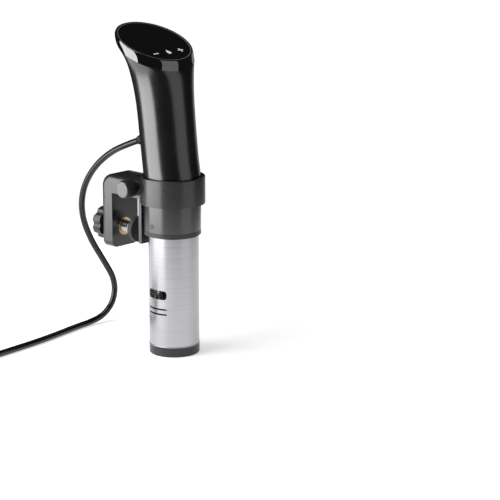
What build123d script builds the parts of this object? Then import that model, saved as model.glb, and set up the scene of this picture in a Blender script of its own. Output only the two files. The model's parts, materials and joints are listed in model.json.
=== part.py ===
from build123d import *
import math
import os

# An immersion circulator: a leaning handle with a touch display on top, a motor and electronics
# inside it, and a steel skirt below it that shields a heating element and an impeller. A split
# collar with a screw clamp grips the handle and hangs it on the wall of a pan.
# The device stands on its end cap. +Z is up, -Y is the side that the display leans towards, the
# clamp and the cord are at +Y, and the origin is the centre of the flat base. Millimetres.

# ---- Driving dimensions ----
# End cap and skirt, centred on the shaft
end_cap_height = 9.8
end_cap_floor = 2.4
end_cap_wall = 2.2
end_cap_spigot = 6.0
grille_slots = 10
grille_slot_width = 3.2
skirt_radius = 25.2
skirt_wall = 0.8
skirt_slot_width = 23.5
outlet_height = 9.0
outlet_level = 63.5
thin_slot_height = 1.6
thin_slot_levels = (43.9, 49.0)

# Handle, centred handle_shift behind the shaft where it is straight
handle_bottom = 126.0
handle_straight_top = 181.0
handle_radius = 28.4
handle_shift = 1.5
handle_wall = 2.4
handle_screw_level = 133.0

# Head: the rim plane leans towards the front, and every depth in the head is measured under it
rim_y = 24.9
rim_z = 311.7
rim_tilt = 22.6
rim_radius = 39.6
band_depth = 8.9
band_drift = 5.9
band_radius = rim_radius
band_shoulder_depth = 3.8
band_shoulder_drift = 1.6
band_shoulder_radius = rim_radius + 0.5
rim_chamfer = 0.6
glass_radius = rim_radius - 3.0
glass_depth = 0.4
glass_thickness = 1.8
accent_width = 1.2
accent_depth = 0.15
gasket_thickness = 0.4
ledge_thickness = 1.6
tray_radius = glass_radius - 5.7
tray_wall = 1.5
tray_shift = -4.6
tray_depth = 12.0
icon_spacing = 16.6
icon_offset = -21.4
icon_size = 6.8
icon_stroke = 1.35

# Bulkhead between the wet and the dry side
flange_height = 4.0
plug_in_height = 12.0
spigot_radius = skirt_radius - skirt_wall - 0.3
spigot_height = 12.5
bulkhead_floor = 6.5
bulkhead_pocket = spigot_radius - 3.6
base_plate_thickness = 1.5
base_plate_radius = spigot_radius - 0.7
o_ring_section = 0.95

# Shaft line
shaft_radius = 2.5
running_clearance = 0.05
shaft_bottom = 11.5
impeller_bottom = 15.5
impeller_height = 13.5
impeller_radius = 15.5
impeller_blades = 6
blade_thickness = 1.6
hub_radius = 5.0
shaft_tube_radius = 4.5
shaft_tube_bore = 3.4
shaft_tube_bottom = 37.0
bush_height = 9.0
seal_radius = 7.0
coupling_radius = 6.0
coupling_bottom = 128.0
coupling_height = 13.0

# Heater and sensors
element_radius = 3.2
element_span_x = bulkhead_pocket - 9.0
element_span_y = 9.5
element_bottom = 50.0
element_top_bend = 98.0
element_bend = 8.0
probe_radius = 2.0
probe_place = (7.5, 5.0 - bulkhead_pocket)
probe_bottom = 72.0
electrode_radius = 1.5
electrode_places = ((-4.5, bulkhead_pocket - 4.0), (4.5, bulkhead_pocket - 4.0))
electrode_bottom = 86.0

# Motor
mount_bottom = 144.0
mount_thickness = 5.0
mount_radius = 22.5
post_radius = 3.0
post_circle = bulkhead_pocket - 3.5
post_places = ((post_circle, 0.0), (-post_circle, 0.0), (0.0, -post_circle))
motor_radius = 17.6
motor_height = 44.0
motor_end_plate = 4.0
motor_wall = 1.2
bearing_radius = 6.5
rotor_radius = 10.0
air_gap = 0.5
motor_screw_circle = 11.0

# Electronics, on a board that leans with the handle
board_lean = 6.0
board_foot_y = 6.0
board_foot_z = 198.0
chassis_width = 40.0
chassis_height = 84.0
chassis_thickness = 2.0
board_width = 36.0
board_height = 76.0
board_thickness = 1.6
standoff_height = 3.0

# Collar and pan clamp
collar_bottom = 153.3
collar_height = 27.2
collar_wall = 2.4
collar_center = 0.9
liner_thickness = 1.2
grip_clearance = 0.3
collar_radius = handle_radius + grip_clearance + liner_thickness + collar_wall
slit_width = 2.4
slit_end = handle_radius + 19.6
arm_half_width = 17.9
arm_bottom = 155.0
arm_top = 173.0
arm_end = handle_radius + 58.6
arm_corner = 12.5
arm_edge_round = 6.5
leg_thickness = 17.0
leg_bottom = 98.0
jaw_inner = handle_radius + 3.2
jaw_thickness = 4.0
jaw_bottom = 108.0
jaw_half_width = 14.0
jaw_pad_thickness = 2.0
top_recess_depth = 1.0

# Thumb screw that closes the collar
thumb_z = 165.8
thumb_radius = 9.0
thumb_length = 16.0
thumb_stud_radius = 3.0
thumb_washer_radius = 7.8
thumb_washer_thickness = 1.2
thumb_nut_thickness = 5.0
thumb_gap = 0.952
thumb_y = (collar_center + math.sqrt(collar_radius ** 2 - (arm_half_width + thumb_washer_thickness) ** 2)
           + thumb_radius + thumb_gap)

# Clamp screw that presses on the pan
press_screw_level = 118.0
press_screw_radius = 6.0
press_nut_radius = 9.0
press_pad_face = handle_radius + 19.6
press_pad_thickness = 6.0
press_pad_radius = 13.0
press_pad_socket = 3.0
press_knob_radius = 17.0
press_knob_start = arm_end + 3.5
press_knob_length = 11.0
knob_lobes = 8

# Cord, strain relief and plug
cord_radius = 3.2
straight_run = 18.0
corner_share = 0.45
gland_dip = 20.0
gland_tip_radius = 4.3
gland_base_radius = 6.5
gland_taper = 13.0
gland_neck = 7.7
gland_flange = 2.5
gland_flange_radius = 8.0
coil_middle_radius = 36.3
coil_width = 13.6
coil_height = 13.0
coil_x = -168.0
coil_y = 152.0
coil_entry_turn = 252.0
coil_exit_turn = 97.0
coil_full_turns = 3
coil_lead = 26.0
tie_width = 9.0
tie_thickness = 1.4
tie_angle = 235.0
plug_tail = 27.0
plug_relief = 20.0
plug_length = 30.0
plug_width = 25.0
plug_height = 19.0
blade_spacing = 12.7
blade_length = 16.0
ground_pin_radius = 2.4
ground_pin_length = 18.5

STAND = (Align.CENTER, Align.CENTER, Align.MIN)
HANG = (Align.CENTER, Align.CENTER, Align.MAX)

os.makedirs("parts", exist_ok=True)


# ---- Shared geometry ----
def leaning_plane(y, z, tilt):
    """A plane through (0, y, z) whose normal leans tilt degrees towards the front."""
    angle = math.radians(tilt)
    return Plane(origin=(0, y, z), x_dir=(1, 0, 0), z_dir=(0, -math.sin(angle), math.cos(angle)))


def disc(level, radius, bore=0.0, places=((0, 0),)):
    """A level disc, or a ring, at each place."""
    with BuildSketch(Plane.XY.offset(level)) as flat:
        with Locations(*places):
            Circle(radius)
            if bore > 0:
                Circle(bore, mode=Mode.SUBTRACT)
    return flat.sketch


def circle_on(plane, radius, center=(0, 0)):
    """A round face on a plane."""
    with BuildSketch(plane) as flat:
        with Locations(center):
            Circle(radius)
    return flat.sketch.face()


def ring_on(plane, radius, bore, center=(0, 0)):
    """A ring-shaped face on a plane."""
    with BuildSketch(plane) as flat:
        with Locations(center):
            Circle(radius)
            Circle(bore, mode=Mode.SUBTRACT)
    return flat.sketch


def add_screws(places, shank, length, head, head_height):
    """Socket-head screws: each place is under a head, and its Z axis points out of the head."""
    with Locations(*places):
        Cylinder(head, head_height, align=STAND)
        Cylinder(shank, length, align=HANG)
    with Locations(*[place * Location((0, 0, head_height)) for place in places]):
        Cylinder(head * 0.5, head_height * 0.6, align=HANG, mode=Mode.SUBTRACT)


def save(piece, name):
    piece.part.label = name
    export_step(piece.part, f"parts/{name}.step")


rim_plane = leaning_plane(rim_y, rim_z, rim_tilt)
handle_places = ((0, handle_shift),)

# The handle above its straight part: how far back, how far up, the tilt, and the share of the way
# that its radius has grown from the handle's to the rim's
neck_bends = (
    (0.0, 0.0, 0.0, 0.0),
    (1.5, 8.0, 4.0, -0.009),
    (4.1, 28.0, 5.5, 0.0),
    (6.4, 50.0, 6.0, 0.013),
    (8.6, 69.0, 7.0, 0.054),
    (10.7, 84.0, 9.0, 0.143),
    (13.4, 98.0, 13.0, 0.321),
    (16.8, 109.5, 17.5, 0.589),
)


def rim_section(depth, drift, radius):
    """A round section of the head, depth under the rim and drift towards the front."""
    return circle_on(rim_plane.offset(-depth), radius, (0, -drift))


def neck_sections(inset):
    """The handle's leaning sections up to the band, inset from its surface."""
    faces = [
        circle_on(leaning_plane(handle_shift + back, handle_straight_top + up, tilt),
                  handle_radius + flare * (rim_radius - handle_radius) - inset)
        for back, up, tilt, flare in neck_bends
    ]
    return faces + [rim_section(band_depth, band_drift, band_radius - inset)]


def band_sections(inset):
    """The band's sections from the handle up to the rim, inset from its surface."""
    return [
        rim_section(band_depth, band_drift, band_radius - inset),
        rim_section(band_shoulder_depth, band_shoulder_drift, band_shoulder_radius - inset),
        rim_section(0.0, 0.0, rim_radius - inset),
    ]


# ---- Skirt ----
skirt_bore = skirt_radius - skirt_wall
skirt_top = handle_bottom - flange_height - 0.4

with BuildPart() as end_cap:
    extrude(disc(0, skirt_radius), amount=end_cap_height)
    extrude(disc(end_cap_height, skirt_bore), amount=end_cap_spigot)
    extrude(disc(end_cap_floor, skirt_radius - end_cap_wall), amount=end_cap_height + end_cap_spigot,
            mode=Mode.SUBTRACT)
    chamfer(end_cap.edges().group_by(Axis.Z)[0], length=0.9)
    with BuildSketch(Plane.XY):
        with PolarLocations(skirt_radius * 0.58, grille_slots):
            SlotOverall(skirt_radius * 0.42, grille_slot_width)
    extrude(amount=end_cap_floor, mode=Mode.SUBTRACT)
save(end_cap, "end_cap")

with BuildPart() as skirt_tube:
    extrude(disc(end_cap_height, skirt_radius, skirt_bore), amount=skirt_top - end_cap_height)
    with BuildSketch(Plane.YZ):
        with Locations((0, outlet_level)):
            RectangleRounded(skirt_slot_width, outlet_height, outlet_height * 0.35)
        with Locations(*[(0, level) for level in thin_slot_levels]):
            RectangleRounded(skirt_slot_width, thin_slot_height, thin_slot_height * 0.45)
    extrude(amount=skirt_radius + 1, both=True, mode=Mode.SUBTRACT)
save(skirt_tube, "skirt_tube")

# ---- Bulkhead and wet side ----
flange_bottom = handle_bottom - flange_height
spigot_bottom = flange_bottom - spigot_height
floor_top = spigot_bottom + bulkhead_floor
plug_in_radius = handle_radius - handle_wall - running_clearance
grip_ring_level = flange_bottom - spigot_height * 0.45
body_ring_level = handle_bottom + plug_in_height * 0.25
element_legs = ((-element_span_x, -element_span_y), (-element_span_x, element_span_y))
fit_gap = 0.05
screw_shank = 1.5
screw_head = 2.7
screw_head_height = 2.2


def o_ring(level, outer, center_y):
    """A round-section ring whose outside reaches the outer radius."""
    with BuildPart() as ring:
        with Locations((0, center_y, level)):
            Torus(outer - o_ring_section, o_ring_section)
    return ring


with BuildPart() as bulkhead:
    extrude(disc(spigot_bottom, spigot_radius), amount=spigot_height)
    extrude(disc(flange_bottom, handle_radius, places=handle_places), amount=flange_height)
    extrude(disc(handle_bottom, plug_in_radius, places=handle_places), amount=plug_in_height)
    extrude(disc(floor_top, bulkhead_pocket), amount=plug_in_height * 3, mode=Mode.SUBTRACT)
    extrude(disc(grip_ring_level - o_ring_section, spigot_radius, spigot_radius - 2 * o_ring_section),
            amount=2 * o_ring_section, mode=Mode.SUBTRACT)
    extrude(disc(body_ring_level - o_ring_section, plug_in_radius, plug_in_radius - 2 * o_ring_section,
                 places=handle_places), amount=2 * o_ring_section, mode=Mode.SUBTRACT)
    extrude(disc(spigot_bottom, seal_radius + fit_gap), amount=bulkhead_floor, mode=Mode.SUBTRACT)
    extrude(disc(spigot_bottom, element_radius + fit_gap, places=element_legs), amount=bulkhead_floor,
            mode=Mode.SUBTRACT)
    extrude(disc(spigot_bottom, probe_radius + fit_gap, places=(probe_place,)), amount=bulkhead_floor,
            mode=Mode.SUBTRACT)
    extrude(disc(spigot_bottom, electrode_radius + fit_gap, places=electrode_places),
            amount=bulkhead_floor, mode=Mode.SUBTRACT)
    extrude(disc(spigot_bottom + 1.5, screw_shank + fit_gap, places=post_places), amount=bulkhead_floor,
            mode=Mode.SUBTRACT)
    with Locations(Location((0, handle_shift, handle_screw_level), (0, 90, 0))):
        Cylinder(screw_shank + fit_gap, 3 * handle_radius, mode=Mode.SUBTRACT)
save(bulkhead, "bulkhead")

skirt_grip_ring = o_ring(grip_ring_level, skirt_bore - 0.1, 0)
save(skirt_grip_ring, "skirt_grip_ring")
handle_seal_ring = o_ring(body_ring_level, handle_radius - handle_wall, handle_shift)
save(handle_seal_ring, "handle_seal_ring")

base_plate_bottom = spigot_bottom - base_plate_thickness
with BuildPart() as base_plate:
    extrude(disc(base_plate_bottom, base_plate_radius, shaft_tube_radius + fit_gap),
            amount=base_plate_thickness)
    extrude(disc(base_plate_bottom, element_radius + fit_gap, places=element_legs),
            amount=base_plate_thickness, mode=Mode.SUBTRACT)
    extrude(disc(base_plate_bottom, probe_radius + fit_gap, places=(probe_place,)),
            amount=base_plate_thickness, mode=Mode.SUBTRACT)
    extrude(disc(base_plate_bottom, electrode_radius + fit_gap, places=electrode_places),
            amount=base_plate_thickness, mode=Mode.SUBTRACT)
save(base_plate, "base_plate")

element_top = floor_top + 9.0
element_route = [
    (-element_span_x, -element_span_y, element_top),
    (-element_span_x, -element_span_y, element_bottom),
    (element_span_x, -element_span_y, element_bottom),
    (element_span_x, -element_span_y, element_top_bend),
    (element_span_x, element_span_y, element_top_bend),
    (element_span_x, element_span_y, element_bottom),
    (-element_span_x, element_span_y, element_bottom),
    (-element_span_x, element_span_y, element_top),
]
with BuildPart() as heating_element:
    with BuildLine() as element_path:
        FilletPolyline(*element_route, radius=element_bend)
    with BuildSketch(Plane(origin=element_route[0], z_dir=(0, 0, -1))):
        Circle(element_radius)
    sweep(path=element_path.wires()[0])
save(heating_element, "heating_element")

with BuildPart() as element_nuts:
    with BuildSketch(Plane.XY.offset(floor_top)):
        with Locations(*element_legs):
            RegularPolygon(5.3, 6)
            Circle(element_radius + fit_gap, mode=Mode.SUBTRACT)
    extrude(amount=4.5)
save(element_nuts, "element_nuts")

with BuildPart() as temperature_probe:
    extrude(disc(probe_bottom, probe_radius, places=(probe_place,)), amount=floor_top + 3 - probe_bottom)
    fillet(temperature_probe.edges().group_by(Axis.Z)[0], radius=probe_radius * 0.9)
save(temperature_probe, "temperature_probe")

with BuildPart() as level_electrodes:
    extrude(disc(electrode_bottom, electrode_radius, places=electrode_places),
            amount=floor_top + 3 - electrode_bottom)
    fillet(level_electrodes.edges().group_by(Axis.Z)[0], radius=electrode_radius * 0.9)
save(level_electrodes, "level_electrodes")

# ---- Shaft line ----
running_bore = shaft_radius + running_clearance

with BuildPart() as shaft_tube:
    extrude(disc(shaft_tube_bottom, shaft_tube_radius, shaft_tube_bore),
            amount=spigot_bottom - shaft_tube_bottom)
save(shaft_tube, "shaft_tube")

with BuildPart() as lower_bush:
    extrude(disc(shaft_tube_bottom, shaft_tube_bore, running_bore), amount=bush_height)
save(lower_bush, "lower_bush")

with BuildPart() as shaft_seal:
    extrude(disc(spigot_bottom, seal_radius, running_bore), amount=bulkhead_floor - 1.0)
    extrude(disc(spigot_bottom + 1.2, seal_radius - 1.5, seal_radius - 3.0), amount=bulkhead_floor,
            mode=Mode.SUBTRACT)
save(shaft_seal, "shaft_seal")

shaft_joint = coupling_bottom + coupling_height / 2
with BuildPart() as drive_shaft:
    extrude(disc(shaft_bottom, shaft_radius), amount=shaft_joint - shaft_bottom)
    chamfer(drive_shaft.edges().group_by(Axis.Z)[0], length=0.4)
save(drive_shaft, "drive_shaft")

with BuildPart() as shaft_coupling:
    extrude(disc(coupling_bottom, coupling_radius, shaft_radius), amount=coupling_height)
    chamfer(shaft_coupling.edges().filter_by(GeomType.CIRCLE).sort_by(SortBy.RADIUS)[-2:], length=0.6)
save(shaft_coupling, "shaft_coupling")

with BuildPart() as impeller:
    extrude(disc(impeller_bottom, hub_radius), amount=impeller_height)
    extrude(disc(impeller_bottom + impeller_height - 1.8, impeller_radius), amount=1.8)
    with PolarLocations(impeller_radius * 0.6, impeller_blades):
        with Locations(Location((0, 0, impeller_bottom), (0, 0, 25))):
            Box(impeller_radius * 0.8, blade_thickness, impeller_height - 0.5, align=STAND)
    with BuildSketch(Plane.XY.offset(impeller_bottom)):
        Circle(2 * impeller_radius)
        Circle(impeller_radius, mode=Mode.SUBTRACT)
    extrude(amount=impeller_height, mode=Mode.SUBTRACT)
    extrude(disc(impeller_bottom, shaft_radius), amount=impeller_height, mode=Mode.SUBTRACT)
save(impeller, "impeller")

# ---- Motor ----
mount_top = mount_bottom + mount_thickness
motor_top = mount_top + motor_height
motor_screw_places = [
    (motor_screw_circle * math.cos(angle), motor_screw_circle * math.sin(angle))
    for angle in (math.pi / 4 + quarter * math.pi / 2 for quarter in range(4))
]
counterbore_depth = screw_head_height + 0.3

with BuildPart() as motor_mount:
    extrude(disc(mount_bottom, mount_radius), amount=mount_thickness)
    extrude(disc(floor_top, post_radius, places=post_places), amount=mount_bottom - floor_top)
    extrude(disc(mount_bottom, bearing_radius + 1), amount=mount_thickness, mode=Mode.SUBTRACT)
    extrude(disc(floor_top, screw_shank + fit_gap, places=post_places),
            amount=mount_top - floor_top, mode=Mode.SUBTRACT)
    extrude(disc(mount_top - counterbore_depth, screw_head + fit_gap, places=post_places),
            amount=counterbore_depth, mode=Mode.SUBTRACT)
    extrude(disc(mount_bottom, screw_shank + fit_gap, places=motor_screw_places),
            amount=mount_thickness, mode=Mode.SUBTRACT)
save(motor_mount, "motor_mount")

with BuildPart() as mount_screws:
    add_screws([Location((x, y, mount_top - counterbore_depth)) for x, y in post_places],
               screw_shank, mount_top - counterbore_depth - spigot_bottom - 2.0, screw_head,
               screw_head_height)
save(mount_screws, "mount_screws")

with BuildPart() as motor_screws:
    add_screws([Location((x, y, mount_bottom), (180, 0, 0)) for x, y in motor_screw_places],
               screw_shank, mount_thickness + motor_end_plate - 0.8, screw_head, screw_head_height)
save(motor_screws, "motor_screws")

with BuildPart() as motor_can:
    extrude(disc(mount_top, motor_radius), amount=motor_height)
    fillet(motor_can.edges().group_by(Axis.Z)[-1], radius=1.5)
    extrude(disc(mount_top + motor_end_plate, motor_radius - motor_wall),
            amount=motor_height - 2 * motor_end_plate, mode=Mode.SUBTRACT)
    extrude(disc(mount_top, bearing_radius), amount=motor_height, mode=Mode.SUBTRACT)
    extrude(disc(mount_top, screw_shank + fit_gap, places=motor_screw_places),
            amount=motor_end_plate, mode=Mode.SUBTRACT)
save(motor_can, "motor_can")

stator_bore = rotor_radius + air_gap
with BuildPart() as stator:
    extrude(disc(mount_top + 9, motor_radius - motor_wall, stator_bore), amount=motor_height - 18)
    extrude(disc(mount_top + 5, motor_radius - motor_wall - 1.2, stator_bore + 0.8),
            amount=motor_height - 10)
save(stator, "stator")

with BuildPart() as motor_rotor:
    extrude(disc(mount_top + 8, rotor_radius, shaft_radius), amount=motor_height - 16)
save(motor_rotor, "motor_rotor")

with BuildPart() as motor_bearings:
    extrude(disc(mount_top, bearing_radius, running_bore), amount=motor_end_plate)
    extrude(disc(motor_top - motor_end_plate, bearing_radius, running_bore), amount=motor_end_plate)
save(motor_bearings, "motor_bearings")

with BuildPart() as motor_shaft:
    extrude(disc(shaft_joint, shaft_radius), amount=motor_top + 2 - shaft_joint)
save(motor_shaft, "motor_shaft")

# ---- Electronics ----
lean = math.radians(board_lean)
chassis_plane = Plane(origin=(0, board_foot_y, board_foot_z), x_dir=(1, 0, 0),
                      z_dir=(0, -math.cos(lean), math.sin(lean)))
board_plane = chassis_plane.offset(chassis_thickness + standoff_height)
board_face = board_plane.offset(board_thickness)
board_low = (chassis_height - board_height) / 2
board_screw_places = [
    (side * (board_width / 2 - 3), board_low + rise)
    for side in (-1, 1)
    for rise in (3, board_height - 3)
]

with BuildPart() as electronics_chassis:
    with BuildSketch(chassis_plane):
        with Locations((0, chassis_height / 2)):
            RectangleRounded(chassis_width, chassis_height, 3)
            RectangleRounded(chassis_width - 20, chassis_height - 50, 3, mode=Mode.SUBTRACT)
    extrude(amount=chassis_thickness)
    with BuildSketch(chassis_plane.offset(chassis_thickness)):
        with Locations(*board_screw_places):
            Circle(2.6)
    extrude(amount=standoff_height)
    with BuildSketch(Plane.XY.offset(motor_top + 0.2)):
        with Locations((0, board_foot_y - 2)):
            Rectangle(24, 14)
        Circle(4.5, mode=Mode.SUBTRACT)
    extrude(amount=board_foot_z + 4 - motor_top)
    with BuildSketch(board_plane):
        with Locations(*board_screw_places):
            Circle(1.1)
    extrude(amount=-(standoff_height + chassis_thickness), mode=Mode.SUBTRACT)
save(electronics_chassis, "electronics_chassis")

with BuildPart() as control_board:
    with BuildSketch(board_plane):
        with Locations((0, chassis_height / 2)):
            RectangleRounded(board_width, board_height, 2)
        with Locations(*board_screw_places):
            Circle(1.3, mode=Mode.SUBTRACT)
    extrude(amount=board_thickness)
save(control_board, "control_board")

with BuildPart() as board_screws:
    add_screws([board_face.location * Location((x, y, 0)) for x, y in board_screw_places],
               1.05, board_thickness + standoff_height + 1.0, 2.2, 1.6)
save(board_screws, "board_screws")

with BuildPart() as power_modules:
    with BuildSketch(board_face):
        with Locations((-4, board_low + 20)):
            RectangleRounded(20, 24, 1.5)
    extrude(amount=12)
    with BuildSketch(board_face):
        with Locations((-2, board_low + 62)):
            RectangleRounded(18, 11, 1)
    extrude(amount=10)
save(power_modules, "power_modules")

with BuildPart() as capacitors:
    with BuildSketch(board_face):
        with Locations((-8, board_low + 46), (4, board_low + 46)):
            Circle(5)
    extrude(amount=13)
save(capacitors, "capacitors")

with BuildPart() as heat_sink:
    with BuildSketch(chassis_plane):
        with Locations((0, chassis_height - 26)):
            Rectangle(30, 34)
    extrude(amount=-2.5)
    with BuildSketch(chassis_plane.offset(-2.5)):
        with Locations(*[(step * 5.4, chassis_height - 26) for step in range(-2, 3)]):
            Rectangle(1.6, 34)
    extrude(amount=-6)
save(heat_sink, "heat_sink")

with BuildPart() as terminal_block:
    with BuildSketch(chassis_plane):
        with Locations((0, 14)):
            Rectangle(18, 12)
    extrude(amount=-8)
save(terminal_block, "terminal_block")

# ---- Handle shell ----
gland_angle = math.radians(gland_dip)
gland_axis = Vector(0, math.cos(gland_angle), -math.sin(gland_angle))
cord_exit = Vector(0, handle_radius + 19.2, 209.5)
gland_plane = Plane(origin=cord_exit, x_dir=(1, 0, 0), z_dir=gland_axis)
handle_screw_sides = (-1, 1)

with BuildPart() as handle_shell:
    extrude(disc(handle_bottom, handle_radius, places=handle_places),
            amount=handle_straight_top - handle_bottom)
    loft(sections=neck_sections(0))
    extrude(disc(handle_bottom, handle_radius - handle_wall, places=handle_places),
            amount=handle_straight_top - handle_bottom, mode=Mode.SUBTRACT)
    loft(sections=neck_sections(handle_wall), mode=Mode.SUBTRACT)
    with Locations(gland_plane.location):
        Cylinder(gland_base_radius + fit_gap, gland_taper + gland_neck, align=HANG, mode=Mode.SUBTRACT)
    for side in handle_screw_sides:
        with Locations(Location((side * handle_radius, handle_shift, handle_screw_level),
                                (0, 90 * side, 0))):
            CounterSinkHole(screw_shank + fit_gap, screw_head, depth=4)
save(handle_shell, "handle_shell")

with BuildPart() as handle_screws:
    for side in handle_screw_sides:
        with Locations(Location((side * (handle_radius - 0.15), handle_shift, handle_screw_level),
                                (0, 90 * side, 0))):
            Cone(screw_shank, screw_head - 0.2, screw_head - screw_shank - 0.1, align=HANG)
            Cylinder(screw_shank, 5.5, align=HANG)
            Cylinder(0.9, 0.8, align=HANG, mode=Mode.SUBTRACT)
save(handle_screws, "handle_screws")

# ---- Head ----
ledge_top = glass_depth + glass_thickness + gasket_thickness
ledge_bottom = ledge_top + ledge_thickness
tray_center = (0, tray_shift)
tray_inner = tray_radius - tray_wall
ear_circle = tray_radius + 1.9
ear_radius = 3.0
ear_depth = 7.0
ear_places = [
    (ear_circle * math.cos(math.radians(angle)), tray_shift + ear_circle * math.sin(math.radians(angle)))
    for angle in (90, 210, 330)
]
icon_places = [(step * icon_spacing, icon_offset) for step in (-1, 0, 1)]

with BuildPart() as trim_ring:
    loft(sections=band_sections(0))
    chamfer(trim_ring.faces().sort_by(Axis.Z)[-1].edges(), length=rim_chamfer)
    extrude(circle_on(rim_plane, glass_radius + accent_width + fit_gap), amount=-ledge_top,
            mode=Mode.SUBTRACT)
    extrude(circle_on(rim_plane, tray_inner, tray_center), amount=-ledge_bottom, mode=Mode.SUBTRACT)
    loft(sections=[
        rim_section(ledge_bottom, band_shoulder_drift, band_shoulder_radius - handle_wall),
        rim_section(band_depth, band_drift, band_radius - handle_wall),
    ], mode=Mode.SUBTRACT)
    with BuildSketch(rim_plane.offset(-ledge_bottom)):
        with Locations(*ear_places):
            Circle(1.0)
    extrude(amount=1.3, mode=Mode.SUBTRACT)
save(trim_ring, "trim_ring")

with BuildPart() as accent_ring:
    extrude(ring_on(rim_plane.offset(-accent_depth), glass_radius + accent_width, glass_radius + fit_gap),
            amount=-(ledge_top - accent_depth))
save(accent_ring, "accent_ring")


def icon_shapes(plane, grow):
    """A minus, a drop and a plus on a plane, each grown outwards."""
    minus, drop, plus = icon_places
    with BuildSketch(plane) as shapes:
        with Locations(minus):
            Rectangle(icon_size + 2 * grow, icon_stroke + 2 * grow)
        with Locations(plus):
            Rectangle(icon_size + 2 * grow, icon_stroke + 2 * grow)
            Rectangle(icon_stroke + 2 * grow, icon_size + 2 * grow)
        with Locations((drop[0], drop[1] - icon_size * 0.15)):
            Circle(icon_size * 0.38 + grow)
        with BuildLine():
            Polyline(
                (drop[0] - icon_size * 0.34 - grow, drop[1]),
                (drop[0], drop[1] + icon_size * 0.62 + grow * 1.4),
                (drop[0] + icon_size * 0.34 + grow, drop[1]),
                close=True,
            )
        make_face()
    return shapes.sketch


with BuildPart() as touch_glass:
    extrude(circle_on(rim_plane.offset(-glass_depth), glass_radius), amount=-glass_thickness)
    extrude(icon_shapes(rim_plane.offset(-glass_depth), fit_gap), amount=-glass_thickness,
            mode=Mode.SUBTRACT)
save(touch_glass, "touch_glass")

board_top_depth = tray_depth - 1.4 - board_thickness
with BuildPart() as icon_light_guides:
    extrude(icon_shapes(rim_plane.offset(-glass_depth), 0), amount=-glass_thickness - 0.2)
    with BuildSketch(rim_plane.offset(-glass_depth - glass_thickness - 0.2)):
        with Locations(*icon_places):
            Circle(icon_size * 0.55)
    extrude(amount=-(board_top_depth - glass_depth - glass_thickness - 0.2))
save(icon_light_guides, "icon_light_guides")

with BuildPart() as display_gasket:
    extrude(ring_on(rim_plane.offset(-glass_depth - glass_thickness), glass_radius - 0.2,
                    glass_radius - 2.2), amount=-gasket_thickness)
save(display_gasket, "display_gasket")

with BuildPart() as display_tray:
    extrude(circle_on(rim_plane.offset(-ledge_bottom), tray_radius, tray_center),
            amount=-(tray_depth - ledge_bottom))
    extrude(circle_on(rim_plane.offset(-ledge_bottom), tray_inner, tray_center),
            amount=-(tray_depth - ledge_bottom - 1.4), mode=Mode.SUBTRACT)
    with BuildSketch(rim_plane.offset(-ledge_bottom)):
        with Locations(*ear_places):
            Circle(ear_radius)
        with Locations(tray_center):
            Circle(tray_inner, mode=Mode.SUBTRACT)
    extrude(amount=-(ear_depth - ledge_bottom))
    with BuildSketch(rim_plane.offset(-ledge_bottom)):
        with Locations(*ear_places):
            Circle(1.1)
    extrude(amount=-(ear_depth - ledge_bottom), mode=Mode.SUBTRACT)
save(display_tray, "display_tray")

with BuildPart() as tray_screws:
    ear_face = rim_plane.offset(-ear_depth)
    add_screws([ear_face.location * Location((x, y, 0), (180, 0, 0)) for x, y in ear_places],
               1.0, ear_depth - ledge_bottom + 1.2, 1.8, 1.3)
save(tray_screws, "tray_screws")

with BuildPart() as display_board:
    extrude(circle_on(rim_plane.offset(-board_top_depth), tray_inner - 0.3, tray_center),
            amount=-board_thickness)
save(display_board, "display_board")

with BuildPart() as digit_display:
    with BuildSketch(rim_plane.offset(-board_top_depth)):
        with Locations((0, 3)):
            RectangleRounded(36, 15, 1)
    extrude(amount=board_top_depth - ledge_top - 0.6)
save(digit_display, "digit_display")

# ---- Cord, strain relief and plug ----
with BuildPart() as cord_gland:
    with Locations(gland_plane.location):
        Cone(gland_base_radius, gland_tip_radius, gland_taper, align=HANG)
    with Locations(gland_plane.offset(-gland_taper).location):
        Cylinder(gland_base_radius, gland_neck + gland_flange, align=HANG)
    with Locations(gland_plane.offset(-gland_taper - gland_neck).location):
        Cylinder(gland_flange_radius, gland_flange, align=HANG)
save(cord_gland, "cord_gland")

coil_center = Vector(coil_x, coil_y, 0)
coil_entry_angle = math.radians(coil_entry_turn)
coil_entry = coil_center + Vector(coil_middle_radius * math.cos(coil_entry_angle),
                                  coil_middle_radius * math.sin(coil_entry_angle), cord_radius)
entry_direction = Vector(math.sin(coil_entry_angle), -math.cos(coil_entry_angle), 0)
relief_end = cord_exit + gland_axis * straight_run
cord_route = [
    tuple(cord_exit),
    tuple(relief_end),
    (0, 91, 191),
    (0, 116, 171.5),
    (0, 133, 147),
    (2, 138, 119),
    (13, 137, 91),
    (29, 134, 65),
    (42, 131, 42),
    (38.5, 129.5, 20.5),
    (24, 130.5, 6.8),
    (5, 131.5, cord_radius),
    (-12, 129.5, cord_radius),
    (-42, 123.5, cord_radius),
    (-78, 117, cord_radius),
    (-118, 113, cord_radius),
    tuple(coil_entry - entry_direction * coil_lead),
    tuple(coil_entry),
]


def corner_radii(route):
    """The arc at each corner: as large as its two runs allow."""
    points = [Vector(*point) for point in route]
    radii = []
    for before, corner, after in zip(points, points[1:], points[2:]):
        into = corner - before
        out = after - corner
        turn = math.radians(into.get_angle(out))
        radii.append(corner_share * min(into.length, out.length) / math.tan(turn / 2))
    return radii


cord_radii = corner_radii(cord_route)
with BuildPart() as cord:
    with BuildLine() as cord_path:
        FilletPolyline(*cord_route, radius=cord_radii)
    with BuildSketch(Plane(origin=cord_exit, z_dir=gland_axis)):
        Circle(cord_radius)
    sweep(path=cord_path.wires()[0])
save(cord, "cord")

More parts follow.
